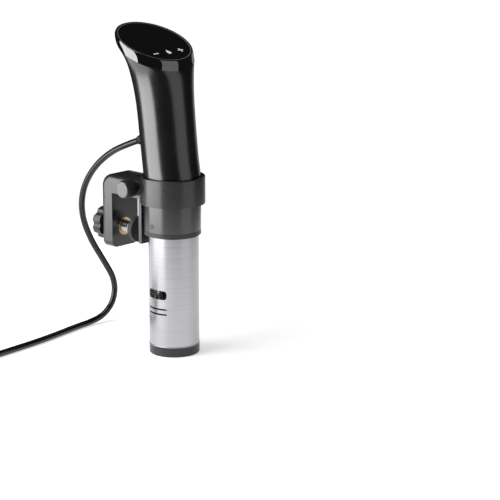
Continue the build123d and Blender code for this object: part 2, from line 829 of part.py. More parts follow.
with BuildPart() as cord_coil:
    with BuildSketch(Plane(origin=coil_center, x_dir=(1, 0, 0), z_dir=(0, -1, 0))):
        with Locations((coil_middle_radius, coil_height / 2)):
            RectangleRounded(coil_width, coil_height, cord_radius)
    revolve(axis=Axis(coil_center, (0, 0, 1)))
save(cord_coil, "cord_coil")

tie_outward = Vector(math.cos(math.radians(tie_angle)), math.sin(math.radians(tie_angle)), 0)
tie_plane = Plane(origin=coil_center, x_dir=tie_outward, z_dir=tie_outward.cross(Vector(0, 0, 1)))
with BuildPart() as coil_tie:
    with BuildSketch(tie_plane.offset(-tie_width / 2)):
        with Locations((coil_middle_radius, coil_height / 2)):
            RectangleRounded(coil_width + 2 * tie_thickness, coil_height + 2 * tie_thickness,
                             cord_radius + tie_thickness)
            RectangleRounded(coil_width, coil_height, cord_radius, mode=Mode.SUBTRACT)
    extrude(amount=tie_width)
    with BuildSketch(Plane(origin=coil_center)):
        Circle(2 * coil_middle_radius)
    extrude(amount=-2 * tie_thickness, mode=Mode.SUBTRACT)
save(coil_tie, "coil_tie")

tail_angle = math.radians(coil_exit_turn)
tail_radius = coil_middle_radius + coil_width / 4
tail_start = coil_center + Vector(tail_radius * math.cos(tail_angle),
                                  tail_radius * math.sin(tail_angle), plug_height / 2)
tail_axis = Vector(math.sin(tail_angle), -math.cos(tail_angle), 0)
plug_plane = Plane(origin=tail_start + tail_axis * plug_tail, x_dir=tail_axis.cross(Vector(0, 0, 1)),
                   z_dir=tail_axis)
plug_front = plug_relief + plug_length

with BuildPart() as cord_tail:
    with BuildSketch(Plane(origin=tail_start, z_dir=tail_axis)):
        Circle(cord_radius)
    extrude(amount=plug_tail)
save(cord_tail, "cord_tail")

with BuildPart() as plug_body:
    with BuildSketch(plug_plane):
        Circle(cord_radius + 1.0)
    with BuildSketch(plug_plane.offset(plug_relief)):
        Circle(cord_radius + 3.2)
    loft()
    with BuildSketch(plug_plane.offset(plug_relief)):
        RectangleRounded(plug_width * 0.72, plug_height * 0.8, 5)
    with BuildSketch(plug_plane.offset(plug_relief + plug_length * 0.55)):
        RectangleRounded(plug_width, plug_height, 5)
    loft()
    with BuildSketch(plug_plane.offset(plug_relief + plug_length * 0.55)):
        RectangleRounded(plug_width, plug_height, 5)
    extrude(amount=plug_length * 0.45)
save(plug_body, "plug_body")

with BuildPart() as plug_pins:
    with BuildSketch(plug_plane.offset(plug_front)):
        with Locations((-blade_spacing / 2, 3), (blade_spacing / 2, 3)):
            Rectangle(1.5, 6.3)
    extrude(amount=blade_length)
    with BuildSketch(plug_plane.offset(plug_front)):
        with Locations((0, -5.5)):
            Circle(ground_pin_radius)
    extrude(amount=ground_pin_length)
save(plug_pins, "plug_pins")

# ---- Collar and pan clamp ----
collar_top = collar_bottom + collar_height
liner_bore = handle_radius + grip_clearance
collar_bore = liner_bore + liner_thickness
press_axis = Vector(0, 1, 0)
press_center = Vector(0, 0, press_screw_level)
press_plane = Plane(origin=press_center, x_dir=(1, 0, 0), z_dir=press_axis)
thumb_plane = Plane(origin=(-arm_half_width, thumb_y, thumb_z), x_dir=(0, 1, 0), z_dir=(-1, 0, 0))
leg_inner = arm_end - leg_thickness
nut_place = 2 * arm_half_width - thumb_nut_thickness

with BuildPart() as clamp_bracket:
    with BuildSketch(Plane.YZ):
        with BuildLine():
            Polyline(
                (collar_center, arm_bottom),
                (leg_inner, arm_bottom),
                (leg_inner, leg_bottom),
                (arm_end, leg_bottom),
                (arm_end, arm_top),
                (collar_center, arm_top),
                close=True,
            )
        make_face()
    extrude(amount=arm_half_width, both=True)
    outer_edges = clamp_bracket.edges().filter_by(Axis.X).group_by(Axis.Y)[-1]
    fillet(outer_edges.sort_by(Axis.Z)[-1], radius=arm_corner)
    fillet(clamp_bracket.edges().filter_by(Axis.X).group_by(Axis.Y)[-1].sort_by(Axis.Z)[0], radius=5)
    fillet(clamp_bracket.edges().filter_by(Axis.Z).group_by(Axis.Y)[-1], radius=arm_edge_round)
    with BuildSketch(Plane.XY.offset(jaw_bottom)):
        with Locations((0, jaw_inner + jaw_thickness / 2)):
            Rectangle(2 * jaw_half_width, jaw_thickness)
    extrude(amount=arm_bottom - jaw_bottom + 1)
    with BuildSketch(Plane.XY.offset(arm_top - top_recess_depth)):
        with Locations((0, (slit_end + arm_end) / 2 - 2)):
            RectangleRounded(2 * arm_half_width - 9, arm_end - slit_end - 14, 3)
    extrude(amount=2 * top_recess_depth, mode=Mode.SUBTRACT)
    extrude(disc(collar_bottom, collar_radius, places=((0, collar_center),)), amount=collar_height)
    fillet(clamp_bracket.edges().filter_by(GeomType.CIRCLE).group_by(Axis.Z)[-1], radius=0.8)
    extrude(disc(jaw_bottom - 1, collar_bore, places=handle_places),
            amount=collar_top - jaw_bottom + 2, mode=Mode.SUBTRACT)
    with BuildSketch(Plane.XY.offset(collar_bottom - 50)):
        with Locations((0, (handle_radius + slit_end) / 2)):
            Rectangle(slit_width, slit_end - handle_radius)
        with Locations((0, slit_end)):
            Circle(slit_width)
    extrude(amount=collar_height + 60, mode=Mode.SUBTRACT)
    with Locations(thumb_plane.location):
        Cylinder(thumb_stud_radius + 0.15, 4 * arm_half_width, mode=Mode.SUBTRACT)
    with BuildSketch(thumb_plane.offset(-nut_place)):
        RegularPolygon(6.2, 6)
    extrude(amount=-thumb_nut_thickness - 1, mode=Mode.SUBTRACT)
    with Locations(press_plane.offset(leg_inner).location):
        Cylinder(press_nut_radius + fit_gap, 3 * leg_thickness, mode=Mode.SUBTRACT)
save(clamp_bracket, "clamp_bracket")

with BuildPart() as collar_liner:
    extrude(disc(collar_bottom + 0.6, collar_bore - running_clearance, liner_bore, places=handle_places),
            amount=collar_height - 1.2)
    with BuildSketch(Plane.XY.offset(collar_bottom)):
        with Locations((0, handle_radius)):
            Rectangle(slit_width, 3 * liner_thickness + 2)
    extrude(amount=collar_height, mode=Mode.SUBTRACT)
save(collar_liner, "collar_liner")

pad_height = arm_bottom - jaw_bottom - 8
with BuildPart() as jaw_pad:
    with BuildSketch(Plane(origin=(0, jaw_inner + jaw_thickness, jaw_bottom + 2 + pad_height / 2),
                           x_dir=(-1, 0, 0), z_dir=(0, 1, 0))):
        RectangleRounded(2 * jaw_half_width - 4, pad_height, 3)
    extrude(amount=jaw_pad_thickness)
save(jaw_pad, "jaw_pad")

with BuildPart() as thumb_nut:
    with BuildSketch(thumb_plane.offset(-nut_place)):
        RegularPolygon(6.1, 6)
        Circle(thumb_stud_radius + running_clearance, mode=Mode.SUBTRACT)
    extrude(amount=-thumb_nut_thickness)
save(thumb_nut, "thumb_nut")

with BuildPart() as thumb_washer:
    with BuildSketch(thumb_plane):
        Circle(thumb_washer_radius)
        Circle(thumb_stud_radius + running_clearance, mode=Mode.SUBTRACT)
    extrude(amount=thumb_washer_thickness)
save(thumb_washer, "thumb_washer")

with BuildPart() as thumb_knob:
    with BuildSketch(thumb_plane.offset(thumb_washer_thickness)):
        Circle(thumb_radius)
        Circle(thumb_stud_radius, mode=Mode.SUBTRACT)
    extrude(amount=thumb_length)
    with BuildSketch(thumb_plane.offset(thumb_washer_thickness + thumb_length - 3)):
        Circle(thumb_stud_radius)
    extrude(amount=3)
    fillet(thumb_knob.edges().filter_by(GeomType.CIRCLE).group_by(Axis.X)[0], radius=1.2)
save(thumb_knob, "thumb_knob")

with BuildPart() as thumb_stud:
    with BuildSketch(thumb_plane.offset(thumb_washer_thickness + thumb_length - 3)):
        Circle(thumb_stud_radius)
    extrude(amount=-(2 * arm_half_width + thumb_washer_thickness + thumb_length - 3.5))
save(thumb_stud, "thumb_stud")

with BuildPart() as press_nut:
    with BuildSketch(press_plane.offset(leg_inner)):
        Circle(press_nut_radius)
        Circle(press_screw_radius + running_clearance, mode=Mode.SUBTRACT)
    extrude(amount=leg_thickness)
save(press_nut, "press_nut")

press_pad_back = press_pad_face + press_pad_thickness
with BuildPart() as press_screw:
    with BuildSketch(press_plane.offset(press_pad_back - press_pad_socket)):
        Circle(press_screw_radius)
    extrude(amount=press_knob_start + press_knob_length * 0.6 - press_pad_back + press_pad_socket)
save(press_screw, "press_screw")

with BuildPart() as press_knob:
    with BuildSketch(press_plane.offset(press_knob_start)):
        Circle(press_knob_radius)
        with PolarLocations(press_knob_radius + 3.2, knob_lobes):
            Circle(5, mode=Mode.SUBTRACT)
    extrude(amount=press_knob_length)
    fillet(press_knob.edges().group_by(Axis.Y)[-1], radius=1.5)
    with BuildSketch(press_plane.offset(press_knob_start)):
        Circle(press_screw_radius)
    extrude(amount=press_knob_length * 0.6, mode=Mode.SUBTRACT)
save(press_knob, "press_knob")

with BuildPart() as press_pad:
    with BuildSketch(press_plane.offset(press_pad_face)):
        Circle(press_pad_radius)
    extrude(amount=press_pad_thickness)
    fillet(press_pad.edges().group_by(Axis.Y)[-1], radius=1.5)
    with BuildSketch(press_plane.offset(press_pad_back)):
        Circle(press_screw_radius + running_clearance)
    extrude(amount=-press_pad_socket, mode=Mode.SUBTRACT)
save(press_pad, "press_pad")

# ---- What the build prints ----
tube_length = sum(edge.length for edge in cord_path.edges())
coil_sweep = coil_entry_turn - coil_exit_turn + 360 * coil_full_turns
coil_length = math.radians(coil_sweep) * coil_middle_radius
cord_length = tube_length + coil_length + plug_tail
print("cord radii", [round(radius, 1) for radius in cord_radii])
print("cord runs", [round((Vector(*b) - Vector(*a)).length, 1) for a, b in zip(cord_route, cord_route[1:])])
print("cord tube length", round(tube_length, 1), "coil length", round(coil_length, 1))
print("cord length", round(cord_length, 1))
print("cord volume ratio", round(cord.part.volume / (math.pi * cord_radius**2 * tube_length), 4))
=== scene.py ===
import json
import math

import bmesh
import bpy
from mathutils import Matrix, Vector


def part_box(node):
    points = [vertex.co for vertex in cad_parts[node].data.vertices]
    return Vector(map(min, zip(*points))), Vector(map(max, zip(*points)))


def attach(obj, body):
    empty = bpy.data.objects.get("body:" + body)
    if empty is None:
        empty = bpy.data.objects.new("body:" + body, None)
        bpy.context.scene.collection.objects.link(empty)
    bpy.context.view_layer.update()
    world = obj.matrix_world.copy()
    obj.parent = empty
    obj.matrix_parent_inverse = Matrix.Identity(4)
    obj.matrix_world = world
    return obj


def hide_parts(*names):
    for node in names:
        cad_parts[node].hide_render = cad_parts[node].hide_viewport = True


# An immersion circulator with a gloss black handle, a touch display, a steel skirt and a pan clamp.
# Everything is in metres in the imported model's frame: +Z up, -Y the side the display leans towards.
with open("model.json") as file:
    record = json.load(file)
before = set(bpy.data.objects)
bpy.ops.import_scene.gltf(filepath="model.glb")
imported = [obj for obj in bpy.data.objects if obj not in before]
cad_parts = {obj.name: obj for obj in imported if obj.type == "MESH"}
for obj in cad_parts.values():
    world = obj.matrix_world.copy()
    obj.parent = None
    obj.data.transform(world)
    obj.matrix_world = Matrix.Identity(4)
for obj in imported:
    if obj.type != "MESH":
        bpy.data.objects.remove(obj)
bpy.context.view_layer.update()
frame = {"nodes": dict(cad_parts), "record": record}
record = frame["record"]

# ---- Sizes and places ----
# The head: every depth is measured under the rim, and every drift towards the front
RIM_CENTER = Vector((0, 0.0249, 0.3117))
RIM_TILT = math.radians(22.6)
RIM_RADIUS = 0.0396
RIM_CHAMFER = 0.0006
BAND_DEPTH = 0.0089
BAND_DRIFT = 0.0059
BAND_RADIUS = 0.0396
SHOULDER_DEPTH = 0.0038
SHOULDER_DRIFT = 0.0016
SHOULDER_RADIUS = 0.0401
RING_SEAT_RADIUS = 0.03785
LEDGE_TOP = 0.0026
LEDGE_BOTTOM = 0.0042
LEDGE_RADIUS = 0.0330
HANDLE_WALL = 0.0024
HANDLE_RADIUS = 0.0284
HANDLE_SHIFT = 0.0015
SCREW_LEVEL = 0.133
SHELL_SEGMENTS = 128
SHELL_STEPS = 8

# The handle's axis and radius, as (y, z, tilt in degrees, radius) stations from the bottom up
HANDLE_STATIONS = [
    (0.0015, 0.1260, 0.0, 0.02840),
    (0.0015, 0.1600, 0.0, 0.02840),
    (0.0017, 0.1810, 1.0, 0.02838),
    (0.0040, 0.1980, 4.3, 0.02832),
    (0.0067, 0.2200, 5.7, 0.02845),
    (0.0090, 0.2410, 6.5, 0.02875),
    (0.0112, 0.2575, 8.0, 0.02945),
    (0.0136, 0.2720, 11.0, 0.03092),
    (0.0163, 0.2847, 15.2, 0.03320),
    (0.0193, 0.2935, 18.8, 0.03590),
]

CORD_RADIUS = 0.0032
GLAND_DIP = math.radians(20.0)
CORD_EXIT = Vector((0, 0.0476, 0.2095))
COIL_CENTER = Vector((-0.168, 0.152, 0.0))
COIL_MIDDLE_RADIUS = 0.0363
COIL_LAYER = 0.0034
COIL_ENTRY = math.radians(252.0)
COIL_EXIT = math.radians(97.0)
COIL_FULL_TURNS = 3
POINTS_PER_TURN = 16
TAIL_LENGTH = 0.027
TAIL_HEIGHT = 0.0095


# ---- Camera, lights and floor ----
CAMERA_BACK = Vector((-0.7051, -0.66675, 0.24145))
CAMERA_PLACE = Vector((-1.5428, -1.5633, 0.6507))
CAMERA_LENS = 163.5
LIGHT_TARGET = Vector((0, 0.01, 0.20))
BACKDROP_STRENGTH = 1.02
AMBIENT_STRENGTH = 0.035
FLOOR_RADIUS = 0.62
FLOOR_SIDES = 96


def add_camera():
    data = bpy.data.cameras.new("camera")
    data.lens = CAMERA_LENS
    data.sensor_width = 36.0
    camera = bpy.data.objects.new("camera", data)
    camera.location = CAMERA_PLACE
    camera.rotation_euler = CAMERA_BACK.to_track_quat("Z", "Y").to_euler()
    bpy.context.scene.collection.objects.link(camera)
    bpy.context.scene.camera = camera


def around(angle, distance, height):
    """A place at an angle from the camera's side of the object, positive to the right, in degrees."""
    towards = Vector((CAMERA_BACK.x, CAMERA_BACK.y, 0)).normalized()
    right = Vector((-towards.y, towards.x, 0))
    turn = math.radians(angle)
    place = towards * (math.cos(turn) * distance) + right * (math.sin(turn) * distance)
    return Vector((place.x, place.y, height))


def add_softbox(name, place, width, height, radiance, target=LIGHT_TARGET, level=True):
    """A rectangular softbox that faces its target, upright where level is set."""
    data = bpy.data.lights.new(name, "AREA")
    data.shape = "RECTANGLE"
    data.size = width
    data.size_y = height
    data.energy = radiance * math.pi * width * height
    light = bpy.data.objects.new(name, data)
    away = place - target
    if level:
        away.z = 0
    light.location = place
    light.rotation_euler = away.to_track_quat("Z", "Y").to_euler()
    light.visible_camera = False
    bpy.context.scene.collection.objects.link(light)


def add_lights():
    add_softbox("key_left", around(-72, 1.10, 0.35), 1.35, 1.90, 4.6)
    add_softbox("fill_right", around(59, 1.60, 0.30), 1.35, 1.80, 0.62)
    add_softbox("edge_right", around(152, 1.20, 0.40), 0.45, 1.60, 0.5)
    add_softbox("top", Vector((-0.25, 0.20, 1.45)), 0.9, 0.9, 3.2, level=False)


def add_world():
    """A pale studio: bright where the camera looks straight at it, dim as a light and in reflections."""
    world = bpy.data.worlds.new("studio")
    world.use_nodes = True
    nodes = world.node_tree.nodes
    links = world.node_tree.links
    seen = nodes["Background"]
    seen.inputs["Color"].default_value = (1.0, 1.0, 1.0, 1.0)
    seen.inputs["Strength"].default_value = BACKDROP_STRENGTH
    dim = nodes.new("ShaderNodeBackground")
    dim.inputs["Color"].default_value = (0.95, 0.97, 1.0, 1.0)
    dim.inputs["Strength"].default_value = AMBIENT_STRENGTH
    path = nodes.new("ShaderNodeLightPath")
    mix = nodes.new("ShaderNodeMixShader")
    links.new(path.outputs["Is Camera Ray"], mix.inputs["Fac"])
    links.new(dim.outputs["Background"], mix.inputs[1])
    links.new(seen.outputs["Background"], mix.inputs[2])
    links.new(mix.outputs["Shader"], nodes["World Output"].inputs["Surface"])
    bpy.context.scene.world = world


# ---- Materials ----
def finish_material(name, dark, light, roughness, grain=300.0, bump_grain=1500.0, bump=0.0,
                    stretch=(1.0, 1.0, 1.0), **constants):
    """A procedural finish: two tints and two roughnesses mixed by noise, over a fine bump."""
    material = bpy.data.materials.new(name)
    material.use_nodes = True
    nodes = material.node_tree.nodes
    links = material.node_tree.links
    shader = nodes["Principled BSDF"]
    for socket, value in constants.items():
        shader.inputs[socket.replace("_", " ")].default_value = value
    coords = nodes.new("ShaderNodeTexCoord")
    mapping = nodes.new("ShaderNodeMapping")
    mapping.inputs["Scale"].default_value = stretch
    links.new(coords.outputs["Object"], mapping.inputs["Vector"])
    noise = add_noise(nodes, links, mapping.outputs["Vector"], grain)
    ramp = nodes.new("ShaderNodeValToRGB")
    ramp.color_ramp.elements[0].position = 0.3
    ramp.color_ramp.elements[0].color = (*dark, 1.0)
    ramp.color_ramp.elements[1].position = 0.7
    ramp.color_ramp.elements[1].color = (*light, 1.0)
    links.new(noise.outputs["Fac"], ramp.inputs["Fac"])
    links.new(ramp.outputs["Color"], shader.inputs["Base Color"])
    smear = add_noise(nodes, links, mapping.outputs["Vector"], grain * 0.37)
    spread = nodes.new("ShaderNodeMapRange")
    spread.inputs["From Min"].default_value = 0.3
    spread.inputs["From Max"].default_value = 0.7
    spread.inputs["To Min"].default_value = roughness[0]
    spread.inputs["To Max"].default_value = roughness[1]
    links.new(smear.outputs["Fac"], spread.inputs["Value"])
    links.new(spread.outputs["Result"], shader.inputs["Roughness"])
    if bump > 0:
        fine = add_noise(nodes, links, mapping.outputs["Vector"], bump_grain)
        relief = nodes.new("ShaderNodeBump")
        relief.inputs["Distance"].default_value = bump
        relief.inputs["Strength"].default_value = 1.0
        links.new(fine.outputs["Fac"], relief.inputs["Height"])
        links.new(relief.outputs["Normal"], shader.inputs["Normal"])
    return material


def add_noise(nodes, links, vector, scale):
    noise = nodes.new("ShaderNodeTexNoise")
    noise.inputs["Scale"].default_value = scale
    noise.inputs["Detail"].default_value = 3.0
    links.new(vector, noise.inputs["Vector"])
    return noise


def add_bands(material, bands_axis, scale, dark, light, share=0.5):
    """Even bands along an axis, over a finish's own tints: windings, laminations or board tracks."""
    nodes = material.node_tree.nodes
    links = material.node_tree.links
    shader = nodes["Principled BSDF"]
    under = shader.inputs["Base Color"].links[0].from_socket
    coords = nodes.new("ShaderNodeTexCoord")
    wave = nodes.new("ShaderNodeTexWave")
    wave.bands_direction = bands_axis
    wave.inputs["Scale"].default_value = scale
    wave.inputs["Distortion"].default_value = 0.4
    links.new(coords.outputs["Object"], wave.inputs["Vector"])
    ramp = nodes.new("ShaderNodeValToRGB")
    ramp.color_ramp.elements[0].color = (*dark, 1.0)
    ramp.color_ramp.elements[1].color = (*light, 1.0)
    links.new(wave.outputs["Fac"], ramp.inputs["Fac"])
    mix = nodes.new("ShaderNodeMixRGB")
    mix.inputs["Fac"].default_value = share
    links.new(under, mix.inputs["Color1"])
    links.new(ramp.outputs["Color"], mix.inputs["Color2"])
    links.new(mix.outputs["Color"], shader.inputs["Base Color"])
    return material


def grey(level):
    return (level, level, level * 1.03)


BRUSHED_ROUND = (1.0, 1.0, 40.0)

finishes = {
    "handle_gloss": finish_material("handle_gloss", grey(0.0013), grey(0.0020), (0.21, 0.26), grain=60.0,
                                    bump_grain=900.0, bump=0.000001, IOR=1.9),
    "rim_gloss": finish_material("rim_gloss", grey(0.145), grey(0.17), (0.02, 0.035), grain=60.0,
                                 bump_grain=900.0, bump=0.000001, Metallic=1.0),
    # The accent ring's mid grey is a painted highlight: a lighter ring standing in for the glass edge's
    # chamfer catching the light.
    "rim_accent": finish_material("rim_accent", grey(0.09), grey(0.12), (0.28, 0.38), bump=0.000005),
    "display_glass": finish_material("display_glass", grey(0.001), grey(0.0015), (0.015, 0.03), grain=40.0,
                                     bump_grain=500.0, bump=0.0000005),
    "light_guide": finish_material("light_guide", grey(0.55), grey(0.65), (0.35, 0.45), bump=0.00001,
                                   Emission_Color=(1.0, 1.0, 1.0, 1.0), Emission_Strength=0.25),
    "led_display": finish_material("led_display", grey(0.03), grey(0.05), (0.2, 0.3), bump=0.00001),
    "skirt_steel": finish_material("skirt_steel", grey(0.40), grey(0.44), (0.22, 0.27), grain=30.0,
                                   bump_grain=60.0, bump=0.000004, stretch=BRUSHED_ROUND, Metallic=1.0),
    "element_steel": finish_material("element_steel", (0.30, 0.28, 0.25), (0.46, 0.43, 0.38), (0.30, 0.42),
                                     bump=0.00002, Metallic=1.0),
    "screw_steel": finish_material("screw_steel", grey(0.42), grey(0.55), (0.22, 0.35), bump=0.00001,
                                   Metallic=1.0),
    "shaft_steel": finish_material("shaft_steel", grey(0.5), grey(0.62), (0.14, 0.24), grain=80.0,
                                   bump=0.00001, stretch=BRUSHED_ROUND, Metallic=1.0),
    "screw_black": finish_material("screw_black", grey(0.012), grey(0.02), (0.22, 0.32), bump=0.00001,
                                   Metallic=0.7),
    "end_cap_plastic": finish_material("end_cap_plastic", grey(0.010), grey(0.015), (0.28, 0.34),
                                       bump=0.000004),
    "collar_plastic": finish_material("collar_plastic", grey(0.008), grey(0.011), (0.26, 0.31),
                                      bump=0.000003, IOR=1.7),
    "liner_rubber": finish_material("liner_rubber", grey(0.015), grey(0.024), (0.65, 0.8), bump=0.00003),
    "pad_rubber": finish_material("pad_rubber", grey(0.018), grey(0.03), (0.6, 0.75), bump=0.00004),
    "knob_plastic": finish_material("knob_plastic", grey(0.012), grey(0.020), (0.28, 0.36),
                                    bump=0.000015),
    "knob_cap": finish_material("knob_cap", grey(0.13), grey(0.15), (0.34, 0.40), bump=0.000004),
    "nut_brass": finish_material("nut_brass", (0.52, 0.38, 0.16), (0.66, 0.50, 0.24), (0.22, 0.34),
                                 bump=0.00001, Metallic=1.0),
    "bulkhead_plastic": finish_material("bulkhead_plastic", grey(0.02), grey(0.03), (0.35, 0.45),
                                        bump=0.00002),
    "seal_rubber": finish_material("seal_rubber", grey(0.02), grey(0.035), (0.55, 0.7), bump=0.00002),
    "impeller_plastic": finish_material("impeller_plastic", (0.62, 0.61, 0.56), (0.72, 0.71, 0.66),
                                        (0.35, 0.45), bump=0.00002),
    "bush_plastic": finish_material("bush_plastic", (0.42, 0.38, 0.28), (0.52, 0.47, 0.36), (0.4, 0.5),
                                    bump=0.00002),
    "motor_steel": finish_material("motor_steel", grey(0.22), grey(0.30), (0.3, 0.42), bump=0.00001,
                                   Metallic=1.0),
    "stator_copper": finish_material("stator_copper", (0.34, 0.13, 0.05), (0.50, 0.22, 0.09), (0.3, 0.4),
                                     bump=0.00003, Metallic=0.8),
    "rotor_steel": finish_material("rotor_steel", grey(0.25), grey(0.34), (0.35, 0.45), bump=0.00001,
                                   Metallic=1.0),
    "bearing_steel": finish_material("bearing_steel", grey(0.6), grey(0.7), (0.1, 0.18), bump=0.000005,
                                     Metallic=1.0),
    "chassis_aluminium": finish_material("chassis_aluminium", grey(0.48), grey(0.58), (0.35, 0.45),
                                         bump=0.00001, Metallic=1.0),
    "heat_sink_black": finish_material("heat_sink_black", grey(0.02), grey(0.04), (0.4, 0.5),
                                       bump=0.00001, Metallic=0.6),
    "board_green": finish_material("board_green", (0.006, 0.05, 0.02), (0.012, 0.09, 0.035), (0.25, 0.35),
                                   bump=0.00001),
    "component_plastic": finish_material("component_plastic", grey(0.02), grey(0.035), (0.4, 0.5),
                                         bump=0.00002),
    "capacitor_sleeve": finish_material("capacitor_sleeve", (0.02, 0.03, 0.09), (0.03, 0.04, 0.14),
                                        (0.2, 0.3), bump=0.00001),
    "terminal_plastic": finish_material("terminal_plastic", (0.03, 0.12, 0.04), (0.05, 0.18, 0.07),
                                        (0.35, 0.45), bump=0.00001),
    "tray_plastic": finish_material("tray_plastic", grey(0.03), grey(0.045), (0.4, 0.5), bump=0.00002),
    "gasket_foam": finish_material("gasket_foam", grey(0.02), grey(0.04), (0.7, 0.85), bump=0.00005),
    "cord_pvc": finish_material("cord_pvc", grey(0.0020), grey(0.003), (0.12, 0.18), grain=200.0,
                                bump=0.000003),
    "gland_rubber": finish_material("gland_rubber", grey(0.010), grey(0.018), (0.4, 0.5), bump=0.00002),
    "tie_rubber": finish_material("tie_rubber", grey(0.012), grey(0.03), (0.6, 0.75), grain=900.0,
                                  bump=0.00008),
    "plug_plastic": finish_material("plug_plastic", grey(0.010), grey(0.017), (0.35, 0.45),
                                    bump=0.00002),
    "pin_brass": finish_material("pin_brass", (0.55, 0.50, 0.36), (0.68, 0.62, 0.46), (0.18, 0.28),
                                 bump=0.00001, Metallic=1.0),
}
add_bands(finishes["stator_copper"], "Z", 350.0, (0.16, 0.06, 0.02), (0.60, 0.28, 0.12))
add_bands(finishes["rotor_steel"], "Z", 320.0, grey(0.12), grey(0.4))
add_bands(finishes["board_green"], "X", 120.0, (0.004, 0.03, 0.012), (0.05, 0.16, 0.06), share=0.35)


def paint(piece, slot):
    """Gives a piece the finish of one of the record's slots."""
    piece.data.materials.clear()
    piece.data.materials.append(finishes[slot])
    return piece


def paint_nodes():
    for part in record["subparts"]:
        paint(frame["nodes"][part["node"]], part["material_slot"])


# ---- Cord ----
def coil_turn_points():
    """The coil's turns, wound from the outside in along the floor and back out on top."""
    sweep = COIL_ENTRY - COIL_EXIT + 2 * math.pi * COIL_FULL_TURNS
    count = math.ceil(sweep / (2 * math.pi) * POINTS_PER_TURN)
    step = sweep / count
    widen = 1 / (0.75 + 0.25 * math.cos(step))
    stages = [(0.0, 0.0, -1.0), (0.10, 1.0, -1.0), (0.86, 1.0, -1.0), (1.06, -1.0, -1.0),
              (1.66, -1.0, -1.0), (1.90, -1.0, 1.0), (2.40, -1.0, 1.0), (2.66, 1.0, 1.0), (4.0, 1.0, 1.0)]
    points = []
    for index in range(1, count):
        turned = index * step / (2 * math.pi)
        side, layer = blend_stages(stages, turned)
        radius = (COIL_MIDDLE_RADIUS + side * COIL_LAYER) * widen
        height = CORD_RADIUS + (layer + 1) * COIL_LAYER
        angle = COIL_ENTRY - index * step
        points.append(COIL_CENTER + Vector((radius * math.cos(angle), radius * math.sin(angle), height)))
    return points


def blend_stages(stages, turned):
    """The side and layer at a number of turns, eased from each stage to the next."""
    for start, end in zip(stages, stages[1:]):
        if turned <= end[0]:
            share = (turned - start[0]) / (end[0] - start[0])
            share = share * share * (3 - 2 * share)
            return (start[1] + (end[1] - start[1]) * share, start[2] + (end[2] - start[2]) * share)
    return stages[-1][1:]


gland_axis = Vector((0, math.cos(GLAND_DIP), -math.sin(GLAND_DIP)))
coil_entry = COIL_CENTER + Vector((COIL_MIDDLE_RADIUS * math.cos(COIL_ENTRY),
                                   COIL_MIDDLE_RADIUS * math.sin(COIL_ENTRY), CORD_RADIUS))
entry_direction = Vector((math.sin(COIL_ENTRY), -math.cos(COIL_ENTRY), 0))
tail_start = COIL_CENTER + Vector(((COIL_MIDDLE_RADIUS + COIL_LAYER) * math.cos(COIL_EXIT),
                                   (COIL_MIDDLE_RADIUS + COIL_LAYER) * math.sin(COIL_EXIT), TAIL_HEIGHT))
tail_axis = Vector((math.sin(COIL_EXIT), -math.cos(COIL_EXIT), 0))

CORD_ROUTE = [
    CORD_EXIT,
    CORD_EXIT + gland_axis * 0.018,
    Vector((0, 0.091, 0.191)),
    Vector((0, 0.116, 0.1715)),
    Vector((0, 0.133, 0.147)),
    Vector((0.002, 0.138, 0.119)),
    Vector((0.013, 0.137, 0.091)),
    Vector((0.029, 0.134, 0.065)),
    Vector((0.042, 0.131, 0.042)),
    Vector((0.0385, 0.1295, 0.0205)),
    Vector((0.024, 0.1305, 0.0068)),
    Vector((0.005, 0.1315, CORD_RADIUS)),
    Vector((-0.012, 0.1295, CORD_RADIUS)),
    Vector((-0.042, 0.1235, CORD_RADIUS)),
    Vector((-0.078, 0.117, CORD_RADIUS)),
    Vector((-0.118, 0.113, CORD_RADIUS)),
    coil_entry - entry_direction * 0.026,
    coil_entry,
]


def add_cord():
    """The mains cord on one smooth spline: the free run, the coil's turns and the tail to the plug."""
    points = CORD_ROUTE + coil_turn_points() + [tail_start, tail_start + tail_axis * (TAIL_LENGTH + 0.003)]
    curve = bpy.data.curves.new("mains_cord", "CURVE")
    curve.dimensions = "3D"
    spline = curve.splines.new("NURBS")
    spline.points.add(len(points) - 1)
    for control, point in zip(spline.points, points):
        control.co = (*point, 1.0)
    spline.order_u = 3
    spline.use_endpoint_u = True
    spline.resolution_u = 8
    curve.bevel_depth = CORD_RADIUS
    curve.bevel_resolution = 6
    curve.use_fill_caps = True
    cord = bpy.data.objects.new("mains_cord", curve)
    bpy.context.scene.collection.objects.link(cord)
    paint(cord, "cord_pvc")
    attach(cord, "main")
    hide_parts("cord", "cord_coil", "cord_tail")


# ---- Pieces drawn in more detail ----
def add_piece(name, rings, slot, body, looped=False, crease=32.0):
    """A named piece skinned over closed rings of points, capped at its ends unless it is looped."""
    count = len(rings[0])
    verts = [tuple(point) for ring in rings for point in ring]
    faces = []
    spans = len(rings) if looped else len(rings) - 1
    for low in range(spans):
        high = (low + 1) % len(rings)
        for side in range(count):
            after = (side + 1) % count
            faces.append((low * count + side, low * count + after, high * count + after,
                          high * count + side))
    if not looped:
        faces.append(tuple(reversed(range(count))))
        faces.append(tuple(range((len(rings) - 1) * count, len(rings) * count)))
    data = bpy.data.meshes.new(name)
    data.from_pydata(verts, [], faces)
    shape = bmesh.new()
    shape.from_mesh(data)
    bmesh.ops.recalc_face_normals(shape, faces=shape.faces)
    shape.to_mesh(data)
    shape.free()
    data.shade_smooth()
    data.set_sharp_from_angle(angle=math.radians(crease))
    piece = bpy.data.objects.new(name, data)
    bpy.context.scene.collection.objects.link(piece)
    paint(piece, slot)
    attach(piece, body)
    return piece


